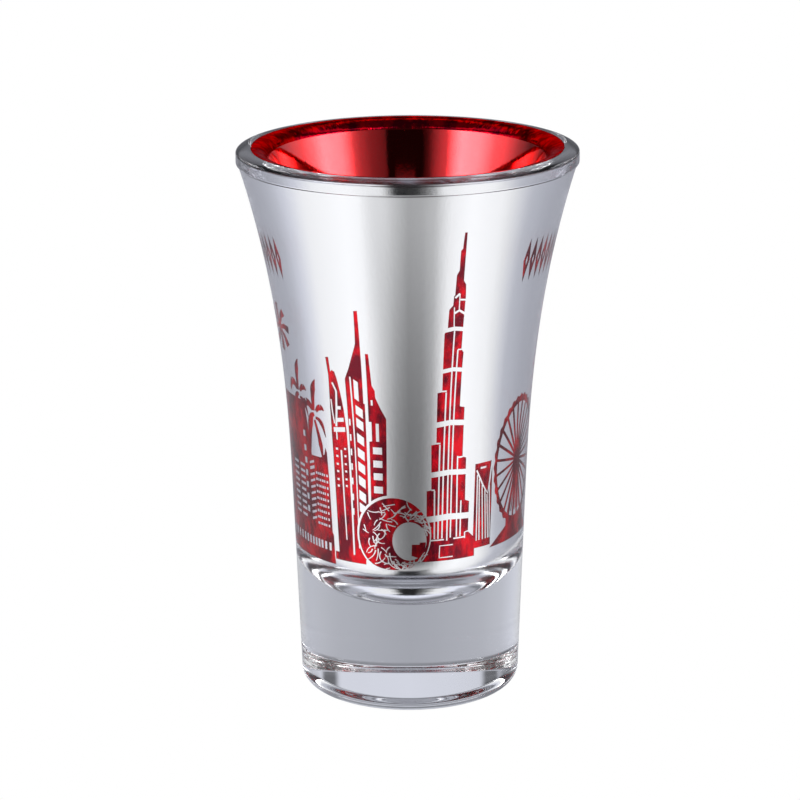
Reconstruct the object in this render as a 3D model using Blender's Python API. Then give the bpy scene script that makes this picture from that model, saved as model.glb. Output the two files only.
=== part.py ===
"""Souvenir shot glass: a pressed clear glass, an engraved silver film and a red mirror lining.

The glass stands on +Z with the middle of its foot at the origin. The front is -Y.
Three pieces are nested: the glass outside, the silver film against its cavity, and the red
lining over the film. The lining shows through the film wherever the skyline is cut away.
"""

import math

import bpy
import numpy as np
from mathutils.geometry import delaunay_2d_cdt

for old in list(bpy.data.objects):
    bpy.data.objects.remove(old, do_unlink=True)

# ---------------------------------------------------------------- driving dimensions, mm
MM = 0.001
HEIGHT = 80.0
WALL = 4.65                 # glass wall, measured along the radius
FOOT_RADIUS = 15.85         # wall line carried down to the table
WALL_LEAN = 0.038           # widening per mm of height in the straight lower part
FLARE_START = 30.0          # height where the wall starts to flare
FLARE_HEIGHT = 47.0
FLARE_WIDTH = 5.08          # extra radius the flare adds over its height
FLARE_POWER = 2.45
HEEL = 2.3                  # rounding between wall and foot
PUNT_RADIUS = 10.8          # shallow recess under the foot
PUNT_DEPTH = 0.9
FLOOR_Z = 14.5              # cavity floor above the table
CORNER = 8.0                # cavity corner radius
WALL_FOOT_Z = FLOOR_Z + CORNER
LIP_RADIUS = 24.4           # outermost radius, on the lip's bead
BEAD_FOOT_Z = 77.8
CREST_RADIUS = 22.4
LIP_INNER_Z = 78.0          # centre height of the inner lip rounding
LINING_T = 0.25
FILM_T = 0.22
GAP = 0.3                   # between neighbouring pieces
AROUND = 60                 # steps in one turn of each turned piece

FILM_IN = LINING_T + GAP
FILM_OUT = FILM_IN + FILM_T
GLASS_IN = FILM_OUT + GAP


# ---------------------------------------------------------------- the cavity's curve
def outer_radius(z):
    """Straight lean, plus a power-law flare above FLARE_START."""
    rise = max(z - FLARE_START, 0.0) / FLARE_HEIGHT
    return FOOT_RADIUS + WALL_LEAN * z + FLARE_WIDTH * rise**FLARE_POWER


FOOT_IN = outer_radius(WALL_FOOT_Z) - WALL              # cavity radius where the corner starts
CORNER_H = WALL_FOOT_Z - CORNER * math.pi / 2           # path value at the end of the corner
POLE_H = CORNER_H - (FOOT_IN - CORNER)                  # path value on the axis
LIP_TURN = math.radians(12)                             # the rounding starts tangent to the wall
LIP_H = LIP_INNER_Z + (HEIGHT - LIP_INNER_Z) * math.sin(LIP_TURN)
LIP_A = (CREST_RADIUS - (outer_radius(LIP_H) - WALL)) / math.cos(LIP_TURN)
LIP_SCALE = 2.4                                         # path millimetres per radian on the lip


def cavity(h):
    """(radius, z) on the cavity surface. h runs from POLE_H on the axis, is the height on the
    wall, and runs on past LIP_H over the lip's inner rounding."""
    if h < CORNER_H:
        return h - POLE_H, FLOOR_Z
    if h < WALL_FOOT_Z:
        turn = (h - WALL_FOOT_Z) / CORNER
        return FOOT_IN - CORNER + CORNER * math.cos(turn), WALL_FOOT_Z + CORNER * math.sin(turn)
    if h < LIP_H:
        return outer_radius(h) - WALL, h
    turn = LIP_TURN + (h - LIP_H) / LIP_SCALE
    return CREST_RADIUS - LIP_A * math.cos(turn), LIP_INNER_Z + (HEIGHT - LIP_INNER_Z) * math.sin(turn)


def layer(h, depth):
    """The cavity point moved straight into the glass by depth."""
    r, z = cavity(h)
    if h <= POLE_H + 1e-6:
        return 0.0, z - depth
    low = cavity(max(h - 0.01, POLE_H))
    high = cavity(h + 0.01)
    dr, dz = high[0] - low[0], high[1] - low[1]
    size = math.hypot(dr, dz)
    return r + depth * dz / size, z - depth * dr / size


def lip_h(turn_degrees):
    return LIP_H + (math.radians(turn_degrees) - LIP_TURN) * LIP_SCALE


FLOOR_ROWS = [POLE_H, CORNER_H]
CORNER_ROWS = [CORNER_H + CORNER * math.pi / 2 * k / 6 for k in range(1, 6)]
WALL_ROWS = [WALL_FOOT_Z, 32.0, 40.0, 47.0, 53.0, 59.0, 64.5, 70.0, 74.5, LIP_H]
LINING_END = lip_h(87)
FILM_END = lip_h(62)


# ---------------------------------------------------------------- mesh helpers
def place(points, angle):
    """(r, z) pairs turned to an azimuth from the front, in degrees, positive towards +X."""
    turn = math.radians(angle)
    return [(r * math.sin(turn), -r * math.cos(turn), z) for r, z in points]


def add_object(name, points, faces, material):
    mesh = bpy.data.meshes.new(name)
    mesh.from_pydata([tuple(MM * value for value in point) for point in points], [], faces)
    mesh.materials.append(material)
    mesh.validate()
    piece = bpy.data.objects.new(name, mesh)
    bpy.context.scene.collection.objects.link(piece)
    return piece


def turned(name, profile, material):
    """A closed body of revolution. The profile starts and ends on the axis, with the material
    on its left as it is walked."""
    inner = profile[1:-1]
    count = len(inner)
    points = [(0.0, 0.0, profile[0][1])]
    for step in range(AROUND):
        points += place(inner, 360.0 * step / AROUND)
    points.append((0.0, 0.0, profile[-1][1]))
    last = len(points) - 1
    faces = []
    for step in range(AROUND):
        a = 1 + step * count
        b = 1 + (step + 1) % AROUND * count
        faces.append((0, b, a))
        for k in range(count - 1):
            faces.append((a + k, b + k, b + k + 1, a + k + 1))
        faces.append((last, a + count - 1, b + count - 1))
    return add_object(name, points, faces, material)


def principled(name, color, metallic, roughness, transmission=0.0, ior=1.45):
    material = bpy.data.materials.new(name)
    material.use_nodes = True
    shader = next(n for n in material.node_tree.nodes if n.type == "BSDF_PRINCIPLED")
    shader.inputs["Base Color"].default_value = (*color, 1.0)
    shader.inputs["Metallic"].default_value = metallic
    shader.inputs["Roughness"].default_value = roughness
    shader.inputs["Transmission Weight"].default_value = transmission
    shader.inputs["IOR"].default_value = ior
    material.diffuse_color = (*color, 1.0)
    return material


# ---------------------------------------------------------------- glass body
def glass_profile():
    """From the middle of the punt, out over the foot, up the wall, over the lip and down the
    cavity to its floor."""
    points = [(0.0, PUNT_DEPTH), (PUNT_RADIUS - 1.6, PUNT_DEPTH), (PUNT_RADIUS - 0.5, 0.4)]
    points += [(PUNT_RADIUS, 0.0)]
    heel_top = outer_radius(HEEL)
    for k in range(5):
        turn = math.radians(-90 + 22.5 * k)
        points.append((heel_top - HEEL + HEEL * math.cos(turn), HEEL + HEEL * math.sin(turn)))
    for z in (14.0, 30.0, 38.0, 45.0, 51.0, 57.0, 62.5, 67.5, 72.5, BEAD_FOOT_Z):
        points.append((outer_radius(z), z))
    points += [(LIP_RADIUS - 0.2, BEAD_FOOT_Z + 0.2), (LIP_RADIUS, 78.3)]
    shoulder = 78.7
    step_radius = cavity(LINING_END)[0] + GAP
    for k in range(5):
        turn = math.radians(22.5 * k)
        points.append((step_radius + (LIP_RADIUS - step_radius) * math.cos(turn),
                       shoulder + (HEIGHT - shoulder) * math.sin(turn)))
    seat = layer(LINING_END, GLASS_IN)
    points.append((step_radius, seat[1]))
    rows = [lip_h(66), lip_h(40), *reversed(WALL_ROWS), *reversed(CORNER_ROWS), CORNER_H]
    points += [layer(h, GLASS_IN) for h in rows]
    points.append(layer(POLE_H, GLASS_IN))
    return points


clear_glass = principled("clear_glass", (0.95, 0.97, 0.98), 0.0, 0.02, 1.0, 1.52)
turned("glass_body", glass_profile(), clear_glass)


# ---------------------------------------------------------------- red lining
def lining_profile():
    """A thin cup: down the side that faces the film, then up the side that faces the drink.
    It is walked from the floor's outside to the floor's inside."""
    rows = [CORNER_H, *CORNER_ROWS, *WALL_ROWS, lip_h(40), lip_h(66), LINING_END]
    outside = [layer(h, LINING_T) for h in rows]
    inside = [layer(h, 0.0) for h in reversed(rows)]
    return [layer(POLE_H, LINING_T), *outside, *inside, layer(POLE_H, 0.0)]


red_lacquer = principled("red_lacquer", (0.75, 0.02, 0.04), 0.9, 0.12)
turned("red_lining", lining_profile(), red_lacquer)


# ---------------------------------------------------------------- the engraved skyline
# Each entry is (cut or keep, outline), laid over the ones before it. Outlines are in degrees
# of azimuth from the front and millimetres of height.
CUT, KEEP = True, False


def box(a0, a1, z0, z1):
    return [(a0, z0), (a1, z0), (a1, z1), (a0, z1)]


def oval(a, z, ra, rz, count=28):
    turns = [2 * math.pi * k / count for k in range(count)]
    return [(a + ra * math.cos(t), z + rz * math.sin(t)) for t in turns]


def bar(a0, z0, a1, z1, width, degrees_per_mm=4.7):
    """A straight stroke of even width in millimetres."""
    x, y = (a1 - a0) / degrees_per_mm, z1 - z0
    size = math.hypot(x, y)
    sx, sy = -y / size * width / 2 * degrees_per_mm, x / size * width / 2
    return [(a0 + sx, z0 + sy), (a0 - sx, z0 - sy), (a1 - sx, z1 - sy), (a1 + sx, z1 + sy)]


def stepped_tower():
    left = [(10.2, 25.6), (10.2, 33.1), (13.0, 33.1), (13.0, 40.0), (15.7, 40.0), (15.7, 47.8),
            (18.2, 47.8), (18.2, 56.9), (19.7, 57.3), (19.7, 60.6), (21.8, 61.0), (22.2, 65.3),
            (23.2, 66.3), (23.9, 71.6)]
    right = [(25.1, 71.6), (25.7, 66.3), (26.0, 64.5), (27.5, 63.8), (27.8, 54.1), (29.2, 53.7),
             (28.9, 45.4), (31.8, 45.4), (31.9, 37.7), (34.3, 37.7), (34.4, 31.1), (37.2, 31.1),
             (36.9, 25.6)]
    shapes = [(CUT, box(2.0, 41.8, 22.4, 25.2)), (CUT, left + right)]
    for z, a0, a1 in ((57.2, 17.0, 29.0), (51.1, 17.0, 30.5), (43.1, 14.5, 33.0),
                      (35.7, 11.5, 35.5), (28.9, 9.0, 38.5)):
        shapes.append((KEEP, box(a0, a1, z - 0.32, z + 0.32)))
    shapes.append((KEEP, [(22.5, 24.9), (23.3, 24.9), (23.9, 56.8), (23.2, 56.8)]))
    return shapes


def front_towers():
    """Three slim towers and the ring-shaped hall in front of them."""
    shapes = [
        (CUT, box(-48.2, -27.0, 21.8, 23.0)),
        (CUT, [(-46.0, 22.4), (-36.7, 22.4), (-36.6, 40.0), (-38.0, 45.5), (-40.2, 48.6),
               (-42.0, 50.3), (-45.0, 50.3), (-45.5, 52.4), (-47.2, 52.4), (-47.8, 44.0)]),
        (KEEP, [(-45.8, 41.2), (-37.9, 41.6), (-37.9, 42.0), (-42.0, 42.3), (-42.4, 47.5),
                (-44.4, 49.0), (-42.9, 42.2), (-45.8, 41.8)]),
        (KEEP, [(-41.0, 25.0), (-40.2, 25.0), (-40.8, 38.5), (-41.9, 38.5)]),
        (CUT, [(-35.9, 22.4), (-25.0, 22.4), (-24.9, 46.0), (-25.9, 46.2), (-25.0, 60.0),
               (-27.2, 60.0), (-27.6, 55.0), (-31.5, 52.0), (-35.7, 49.3)]),
        (KEEP, [(-32.7, 25.0), (-32.0, 25.0), (-32.0, 49.8), (-32.9, 49.8)]),
        (CUT, [(-22.9, 31.0), (-13.0, 31.0), (-12.8, 44.0), (-18.4, 47.0), (-20.0, 48.6),
               (-21.0, 53.6), (-22.7, 53.6)]),
        (KEEP, box(-18.7, -17.0, 40.5, 43.1)),
    ]
    for z in (47.2, 44.2, 41.4, 38.6, 35.8, 33.0):
        shapes.append((KEEP, [(-30.2, z + 0.2), (-26.0, z - 0.5), (-26.0, z + 0.8), (-30.2, z + 1.5)]))
    for z in (39.0, 36.5, 34.0):
        shapes.append((KEEP, box(-21.0, -15.5, z - 0.55, z + 0.55)))
    shapes += [
        (KEEP, oval(-9.9, 26.3, 22.9, 6.2, 32)),
        (CUT, oval(-9.7, 26.2, 21.6, 5.8, 32)),
        (KEEP, oval(0.0, 25.6, 10.4, 2.95, 24)),
    ]
    return shapes


def gate_building():
    return [
        (CUT, box(40.7, 54.4, 23.5, 36.3)),
        (KEEP, [(42.4, 34.9), (50.8, 31.2), (54.0, 36.0), (53.4, 36.0), (50.8, 32.2), (42.6, 35.5)]),
        (KEEP, [(42.9, 24.6), (43.6, 24.6), (43.2, 33.6), (42.5, 33.9)]),
        (KEEP, [(46.0, 24.6), (46.7, 24.6), (46.3, 32.4), (45.6, 32.7)]),
        (KEEP, [(49.2, 24.6), (49.9, 24.6), (49.5, 31.0), (48.8, 31.3)]),
    ]


def observation_wheel():
    """Rim, hub and spokes over a low arched foot."""
    shapes = [(CUT, [(54.3, 23.0), (106.0, 23.0), (94.0, 25.6), (90.0, 27.4), (70.0, 27.4),
                     (67.0, 25.0)])]
    shapes.append((CUT, oval(80.0, 35.0, 24.0, 9.6, 32)))
    shapes.append((KEEP, oval(80.0, 35.0, 21.2, 8.6, 32)))
    for k in range(12):
        turn = math.radians(30 * k + 8)
        shapes.append((CUT, bar(80.0, 35.0, 80 + 22.4 * math.cos(turn), 35 + 9.0 * math.sin(turn), 0.55)))
    shapes.append((CUT, oval(80.0, 35.0, 3.6, 1.5, 12)))
    return shapes


def block_and_palms():
    """A low wide building with lit rows, and two palms above it."""
    shapes = [
        (CUT, [(-104.0, 20.6), (-49.4, 20.6), (-50.0, 25.4), (-51.8, 36.4), (-66.0, 36.5),
               (-67.5, 43.0), (-81.0, 45.0), (-104.0, 43.0)]),
    ]
    for z in (34.0, 31.5, 29.0, 26.5):
        shapes.append((KEEP, box(-64.0, -53.5, z - 0.3, z + 0.3)))
        shapes.append((KEEP, box(-79.0, -67.5, z - 0.3, z + 0.3)))
        shapes.append((KEEP, box(-98.0, -84.0, z - 0.3, z + 0.3)))
    for a, z in ((-60.8, 43.2), (-75.5, 45.8)):
        shapes.append((CUT, [(a - 0.6, z - 0.4), (a + 2.0, z - 3.4), (a + 4.2, z - 7.4),
                             (a + 3.0, z - 7.4), (a + 0.8, z - 3.4)]))
        shapes.append((CUT, [(a - 1.0, z), (a - 1.4, z + 2.6), (a + 2.4, z + 5.0), (a + 1.6, z + 1.8)]))
        shapes.append((CUT, [(a, z), (a + 4.0, z + 1.3), (a + 8.0, z + 0.8), (a + 7.6, z - 0.4)]))
        shapes.append((CUT, [(a, z - 0.2), (a + 4.4, z - 0.3), (a + 7.6, z - 2.8), (a + 3.0, z - 1.6)]))
        shapes.append((CUT, [(a, z), (a - 5.0, z + 1.9), (a - 10.0, z - 0.2), (a - 5.0, z + 0.6)]))
    return shapes


def garlands():
    """A rosette and two rows of lozenges in place of any lettering."""
    shapes = []
    for k in range(6):
        turn = math.radians(60 * k + 30)
        a, z = -90 + 6.4 * math.cos(turn), 54.6 + 2.2 * math.sin(turn)
        shapes.append((CUT, oval(a, z, 3.0, 1.0, 10)))
    for first in (-112.0, 61.5):
        for k in range(6):
            a = first + 8.4 * k
            shapes.append((CUT, [(a - 2.2, 65.7), (a, 62.9), (a + 2.2, 65.7), (a, 68.5)]))
    return shapes


def shifted(shapes, angle):
    return [(cut, [(a + angle, z) for a, z in outline]) for cut, outline in shapes]


def raised(shapes):
    """Heights stretched a little toward the lip, where the wall slopes more."""
    return [(cut, [(a, z + 0.33 * (max(z - 35.0, 0.0) / 36.0)**2) for a, z in outline])
            for cut, outline in shapes]


MM_PER_DEGREE = 0.25         # arc length of a degree, so that triangles come out well shaped
SEAM = 117.0                 # the sheet is cut here, between two pictures
SKYLINE = stepped_tower() + front_towers() + gate_building()
PICTURE = raised(observation_wheel() + block_and_palms() + garlands() + SKYLINE
                 + shifted(SKYLINE, -180.0))


def groups_of(faces, labels):
    """Group numbers of faces, where faces that share an edge have the same number."""
    owner = list(range(len(faces)))

    def root(k):
        while owner[k] != k:
            owner[k] = owner[owner[k]]
            k = owner[k]
        return k

    seen = {}
    for k, face in enumerate(faces):
        for i, j in zip(face, face[1:] + face[:1]):
            side = tuple(sorted((labels[i], labels[j])))
            if side in seen:
                owner[root(k)] = root(seen[side])
            seen[side] = k
    return [root(k) for k in range(len(faces))]


def one_sheet(faces, labels):
    """The film as one sheet: panes that stand alone inside a window are left out, and where two
    corners of film only touch at a point, the smaller one is left out."""
    while True:
        groups = groups_of(faces, labels)
        best = max(set(groups), key=groups.count)
        faces = [face for face, group in zip(faces, groups) if group == best]
        fans = {}
        for k, face in enumerate(faces):
            for i in face:
                fans.setdefault(labels[i], []).append(k)
        drop = set()
        for fan in fans.values():
            parts = groups_of([faces[k] for k in fan], labels)
            if len(set(parts)) > 1:
                best = max(set(parts), key=parts.count)
                drop |= {k for k, part in zip(fan, parts) if part != best}
        if not drop:
            return faces
        faces = [face for k, face in enumerate(faces) if k not in drop]


def film_shell(name, material):
    """Triangulates the unrolled sheet with every outline in it, drops the triangles whose last
    outline is a cut, and rolls the rest into a thin shell with an inside, an outside and edges."""
    points, outlines = [], []

    def add_outline(outline):
        outline = [
            (p[0] + (q[0] - p[0]) * k / n, p[1] + (q[1] - p[1]) * k / n)
            for p, q in zip(outline, outline[1:] + outline[:1])
            for n in [max(1, math.ceil(abs(q[0] - p[0]) / 10.1), math.ceil(abs(q[1] - p[1]) / 9))]
            for k in range(n)
        ]
        area = sum(p[0] * q[1] - q[0] * p[1] for p, q in zip(outline, outline[1:] + outline[:1]))
        first = len(points)
        points.extend(outline if area > 0 else outline[::-1])
        outlines.append(list(range(first, len(points))))

    columns = [SEAM - 360 + 10 * k for k in range(37)]
    rows = [CORNER_H, *CORNER_ROWS, *WALL_ROWS, lip_h(28), lip_h(45), FILM_END]
    base = rows[0]
    edge = [(a, base) for a in columns] + [(SEAM, h) for h in rows[1:-1]]
    edge += [(a, FILM_END) for a in reversed(columns)]
    edge += [(SEAM - 360, h) for h in reversed(rows[1:-1])]
    add_outline(edge)
    for _, outline in PICTURE:
        add_outline(outline)
    points.extend((a, h) for a in columns[1:-1] for h in rows[1:-1])
    points.extend((a + 5.0, h) for a in columns[1:-1] for h in (17.2, 19.3, 21.4, 27.0, 36.0, 43.5, 50.0, 56.0, 61.8))
    sheet = [(a * MM_PER_DEGREE, h) for a, h in points]
    flat, _, faces, _, _, sources = delaunay_2d_cdt(sheet, [], outlines, 0, 1e-4, True)

    kept = []
    for face, covering in zip(faces, sources):
        top = max(covering, default=-1)
        if top == 0 or (top > 0 and PICTURE[top - 1][0] is KEEP):
            kept.append(tuple(face))

    index, shell = {}, []

    def vertex(azimuth, h, depth):
        key = (round((azimuth - SEAM) % 360.0, 3) % 360.0, round(h, 4), depth)
        if key not in index:
            index[key] = len(shell)
            shell.extend(place([layer(h, depth)], azimuth))
        return index[key]

    outside = [vertex(x / MM_PER_DEGREE, h, FILM_OUT) for x, h in flat]
    inside = [vertex(x / MM_PER_DEGREE, h, FILM_IN) for x, h in flat]
    kept = one_sheet(kept, outside)
    solid = []
    for face in kept:
        solid.append(tuple(outside[i] for i in face))
        solid.append(tuple(inside[i] for i in reversed(face)))
    partner = dict(zip(outside, inside))
    for step in range(36):
        a = vertex(columns[step], base, FILM_OUT)
        b = vertex(columns[step + 1], base, FILM_OUT)
        solid.append((a, vertex(0.0, POLE_H, FILM_OUT), b))
        solid.append((partner[a], partner[b], vertex(0.0, POLE_H, FILM_IN)))
    border = {}
    for face in solid:
        if face[0] not in partner and face[1] not in partner:
            continue
        for p, q in zip(face, face[1:] + face[:1]):
            if p in partner and q in partner:
                if (q, p) in border:
                    del border[(q, p)]
                else:
                    border[(p, q)] = True
    for p, q in border:
        solid.append((q, p, partner[p], partner[q]))
    return add_object(name, shell, solid, material)


silver_mirror = principled("silver_mirror", (0.86, 0.86, 0.88), 1.0, 0.08)
film_shell("silver_film", silver_mirror)
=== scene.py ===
# %% [markdown]
# # A souvenir shot glass with a mirror skyline
#
# A heavy pressed glass flares out to a beaded lip. Its cavity is coated twice: a silver film
# with a skyline engraved out of it, and a red mirror lining over the film. From outside, the
# skyline is red where the silver is missing. From above, the whole inside is red mirror.
#
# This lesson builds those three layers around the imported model, as surfaces computed with
# numpy. It starts by loading that model, which fixes the size and place of everything.

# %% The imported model
import math

import bpy
import numpy as np
from mathutils import Matrix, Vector
from mathutils.geometry import delaunay_2d_cdt


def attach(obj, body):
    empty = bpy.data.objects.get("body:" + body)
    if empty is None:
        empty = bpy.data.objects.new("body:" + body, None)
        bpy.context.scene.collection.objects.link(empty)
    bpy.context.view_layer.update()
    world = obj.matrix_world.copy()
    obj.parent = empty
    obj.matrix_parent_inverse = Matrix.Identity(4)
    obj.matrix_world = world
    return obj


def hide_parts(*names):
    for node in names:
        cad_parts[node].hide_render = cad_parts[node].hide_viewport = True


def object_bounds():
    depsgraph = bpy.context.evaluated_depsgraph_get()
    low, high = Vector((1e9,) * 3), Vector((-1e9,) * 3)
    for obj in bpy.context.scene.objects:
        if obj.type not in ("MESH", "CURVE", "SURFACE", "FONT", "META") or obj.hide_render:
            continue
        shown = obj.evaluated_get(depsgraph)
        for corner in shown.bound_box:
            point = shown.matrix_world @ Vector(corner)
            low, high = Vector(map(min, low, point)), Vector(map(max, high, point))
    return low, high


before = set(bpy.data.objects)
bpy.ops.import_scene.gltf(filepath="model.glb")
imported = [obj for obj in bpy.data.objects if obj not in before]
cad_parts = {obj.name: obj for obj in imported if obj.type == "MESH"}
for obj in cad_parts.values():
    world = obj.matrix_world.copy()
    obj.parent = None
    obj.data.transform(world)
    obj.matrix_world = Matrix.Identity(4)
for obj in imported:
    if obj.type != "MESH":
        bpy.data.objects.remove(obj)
cad_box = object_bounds()
MM = 0.001
HEIGHT = cad_box[1].z / MM
print("height in millimetres:", round(HEIGHT, 2))

# %% [markdown]
# ## The camera
#
# A long lens from a little above shows the rim as a narrow ellipse and keeps the wall's lines
# almost parallel. The camera could be aimed with a Track To constraint. Plain turns are used
# here, because the view also leans by a fraction of a degree, and each turn can be named.

# %% Camera
CAMERA_BACK, CAMERA_UP = 456.3, 171.8
PITCH, YAW, ROLL = math.radians(74.18), math.radians(0.16), math.radians(-0.33)

lens = bpy.data.cameras.new("camera")
lens.sensor_width, lens.lens = 36.0, 147.27
lens.clip_start, lens.clip_end = 0.01, 20.0
camera = bpy.data.objects.new("camera", lens)
bpy.context.scene.collection.objects.link(camera)
turns = (Matrix.Rotation(YAW, 4, "Z") @ Matrix.Rotation(PITCH, 4, "X")
         @ Matrix.Rotation(ROLL, 4, "Z"))
camera.matrix_world = Matrix.Translation((0.0, -CAMERA_BACK * MM, CAMERA_UP * MM)) @ turns
bpy.context.scene.camera = camera
print("camera at", [round(value, 3) for value in camera.location])

# %% [markdown]
# ## The studio
#
# A mirror has no look of its own: it shows the room. So the room is designed first: a pale
# table, a bright softbox to the left and to the right, a ring of strip lights above, and a
# dark gap at the front where the camera stands. The clear base shows what stands behind the
# glass, so the back of the room is part of its colour.
# Area lights could do this, but a light tent, a dome that glows more or less in each
# direction, gives every gradient with one smooth formula. Azimuth counts in degrees to the
# right from the front, and elevation up from level. The camera doesn't see the tent itself.

# %% Gradients of the light tent
TENT_RADIUS = 900.0


def smooth(t):
    """Eases from 0 to 1 as t goes from 0 to 1."""
    t = np.clip(t, 0.0, 1.0)
    return t * t * (3 - 2 * t)


def window(x, low, high, soft):
    """1 between low and high, easing to 0 over soft on each side."""
    return smooth((x - low) / soft) * smooth((high - x) / soft)


TABLE_AZIMUTH = [-180, -165, -150, -136, -118, -100, -60, -46, -30, -14, 0, 14, 26, 40, 60, 90, 105,
                 120, 150, 180]
TABLE_GLOW = [0.40, 0.42, 0.45, 0.52, 0.74, 0.98, 1.12, 1.08, 0.68, 0.38, 0.25, 0.28, 0.44, 0.98,
              1.12, 1.00, 0.78, 0.54, 0.44, 0.40]
ROOM_AZIMUTH = [-180, -150, -128, -112, -96, -84, -68, -50, -44, -37, -30, -20, -14, 18, 20, 34, 44,
                50, 62, 80, 92, 104, 124, 140, 160, 180]
ROOM_GLOW = [0.27, 0.20, 0.13, 0.50, 1.30, 2.0, 6.0, 8.0, 5.0, 0.9, 0.6, 0.1, 0.01, 0.01, 0.16,
             0.30, 0.60, 1.0, 5.5, 6.8, 3.2, 1.35, 0.70, 0.25, 0.24, 0.27]
GAP_ACROSS = [-0.28, -0.21, -0.15, -0.12, 0.10, 0.15, 0.26, 0.36]
GAP_SHARE = [1.0, 0.6, 0.06, 0.01, 0.01, 0.1, 0.35, 1.0]
UNDER_GLOW, OVERHEAD_GLOW = 0.95, 0.10
TABLE_EDGE, CEILING_EDGE, UNDER_EDGE = -5, 30, -50
FRONT_LIFT, FRONT_ACROSS = 0.7, (-40, 40, 30)
GAP_AHEAD, GAP_TOP = (-0.25, 0.66, 0.06), -40
BACK_SHADE, BACK_FROM, BACK_UP = 0.5, 140, (-66, -32, 8)
LAVENDER = np.array([0.95, 0.97, 1.08])


def table_glow(azimuth, elevation):
    """The table's brightness by azimuth, lifted in front as the view steepens. Steep views show
    the paper under the foot instead, with the camera's dark gap in it, and the back is
    shaded."""
    glow = np.interp(azimuth, TABLE_AZIMUTH, TABLE_GLOW)
    front = window(azimuth, *FRONT_ACROSS)
    glow = glow * (1 + FRONT_LIFT * front * np.clip((-elevation - 29) / 14, -0.5, 1.0))
    under = smooth((UNDER_EDGE - elevation) / 5)
    glow = glow * (1 - under) + UNDER_GLOW * under
    across = np.cos(np.radians(elevation)) * np.sin(np.radians(azimuth))
    ahead = np.cos(np.radians(elevation)) * np.cos(np.radians(azimuth))
    steep = window(ahead, *GAP_AHEAD) * (elevation < GAP_TOP)
    glow *= 1 - steep + steep * np.interp(across, GAP_ACROSS, GAP_SHARE)
    back = smooth((np.abs(azimuth) - BACK_FROM) / 20)
    return glow * (1 - BACK_SHADE * back * window(elevation, *BACK_UP))


def room_glow(azimuth, elevation):
    """The room's brightness by azimuth, with its softboxes, fading into a dim ceiling."""
    high = smooth((elevation - CEILING_EDGE) / 8)
    return np.interp(azimuth, ROOM_AZIMUTH, ROOM_GLOW) * (1 - high) + OVERHEAD_GLOW * high


print("the table's glow runs from", min(TABLE_GLOW), "to", max(TABLE_GLOW),
      "and the room's from", min(ROOM_GLOW), "to", max(ROOM_GLOW))

# %% Lamps of the light tent
STRIP_GLOW, STRIP_UP, STRIP_GAP = 0.7, (44, 58, 4), 14
LAMP_GLOW, LAMP_ACROSS, LAMP_UP = 5.0, (30, 38, 3), (38, 52, 4)
LENS_GLOW, LENS_ACROSS, LENS_UP = 0.2, (-8, 12, 2), (8, 20, 1)
REAR_GLOW, REAR_FROM, REAR_UP = 0.45, 128, (12, 32, 4)
FLAG_SHADE, FLAG_ACROSS, FLAG_UP = 0.92, (133, 150, 5), (15, 28, 4)
COOL_FROM = 95


def tent_glow(azimuth, elevation):
    """Brightness seen in each direction, as colour: table below, room above, then the lamps.
    A ring of strips runs round all but the front, with one small bright lamp and a faint glow
    where the lens is. A low panel lights the rear, between two black flags, and everything
    behind the glass turns a little lavender."""
    side = np.abs(azimuth)
    above = smooth((elevation - TABLE_EDGE) / 8)
    glow = table_glow(azimuth, elevation) * (1 - above) + room_glow(azimuth, elevation) * above
    glow += STRIP_GLOW * window(elevation, *STRIP_UP) * smooth((side - STRIP_GAP) / 6)
    glow += LAMP_GLOW * window(azimuth, *LAMP_ACROSS) * window(elevation, *LAMP_UP)
    glow += LENS_GLOW * window(azimuth, *LENS_ACROSS) * window(elevation, *LENS_UP)
    glow += REAR_GLOW * smooth((side - REAR_FROM) / 10) * window(elevation, *REAR_UP)
    glow *= 1 - FLAG_SHADE * window(side, *FLAG_ACROSS) * window(elevation, *FLAG_UP)
    behind = smooth((side - COOL_FROM) / 30)[..., None]
    return glow[..., None] * (1 - behind + behind * LAVENDER)


# %% Tent, table and backdrop
def stage_sheet(name, points, quads, material):
    """A mesh that belongs to the studio and not to the glass."""
    mesh = bpy.data.meshes.new(name)
    mesh.from_pydata((points * MM).tolist(), [], quads.tolist())
    mesh.materials.append(material)
    piece = bpy.data.objects.new(name, mesh)
    bpy.context.scene.collection.objects.link(piece)
    return piece


def emitter(name, glow_attribute=None):
    """A material that only glows: evenly, or by a colour attribute of the mesh."""
    material = bpy.data.materials.new(name)
    material.use_nodes = True
    nodes, links = material.node_tree.nodes, material.node_tree.links
    nodes.clear()
    glow = nodes.new("ShaderNodeEmission")
    out = nodes.new("ShaderNodeOutputMaterial")
    links.new(glow.outputs["Emission"], out.inputs["Surface"])
    glow.inputs["Color"].default_value = (1.0, 1.0, 1.0, 1.0)
    material.cycles.emission_sampling = "NONE"
    if glow_attribute:
        source = nodes.new("ShaderNodeAttribute")
        source.attribute_name = glow_attribute
        links.new(source.outputs["Color"], glow.inputs["Color"])
    return material


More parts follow.
